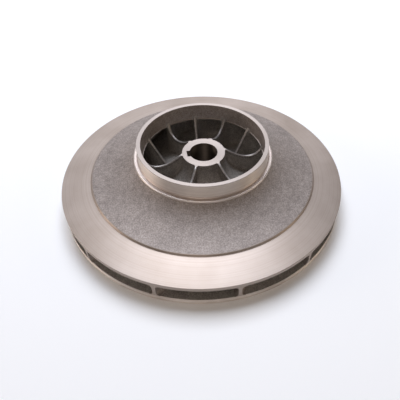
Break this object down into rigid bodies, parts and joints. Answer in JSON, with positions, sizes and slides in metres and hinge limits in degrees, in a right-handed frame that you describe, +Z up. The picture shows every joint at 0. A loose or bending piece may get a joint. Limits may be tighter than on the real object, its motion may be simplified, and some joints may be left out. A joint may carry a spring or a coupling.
{
  "type": "closed centrifugal pump impeller",
  "caption": "Closed radial-flow pump impeller: cast bronze shrouds with long and short vanes between them, a turned neck round the eye, and a keyed hub bore.",
  "frame": {"origin": "centre of the shaft axis on the plane of the back face, which rests on the floor", "axes": "+Z up the shaft axis, from the back face to the eye; the keyway is on the -X side"},
  "size_m": [0.33, 0.33, 0.0756],
  "materials": {
    "cast_bronze": "sand-cast bronze, matt, grey-brown skin",
    "machined_bronze": "turned bronze, satin, fine lathe marks"
  },
  "bodies": {
    "root": {"front_shroud": "cast_bronze", "neck_ring": "machined_bronze", "back_shroud": "cast_bronze", "hub": "machined_bronze", "long_vane_1": "cast_bronze", "long_vane_2": "cast_bronze", "long_vane_3": "cast_bronze", "long_vane_4": "cast_bronze", "long_vane_5": "cast_bronze", "long_vane_6": "cast_bronze", "short_vane_1": "cast_bronze", "short_vane_2": "cast_bronze", "short_vane_3": "cast_bronze", "short_vane_4": "cast_bronze", "short_vane_5": "cast_bronze", "short_vane_6": "cast_bronze"}
  },
  "joints": []
}
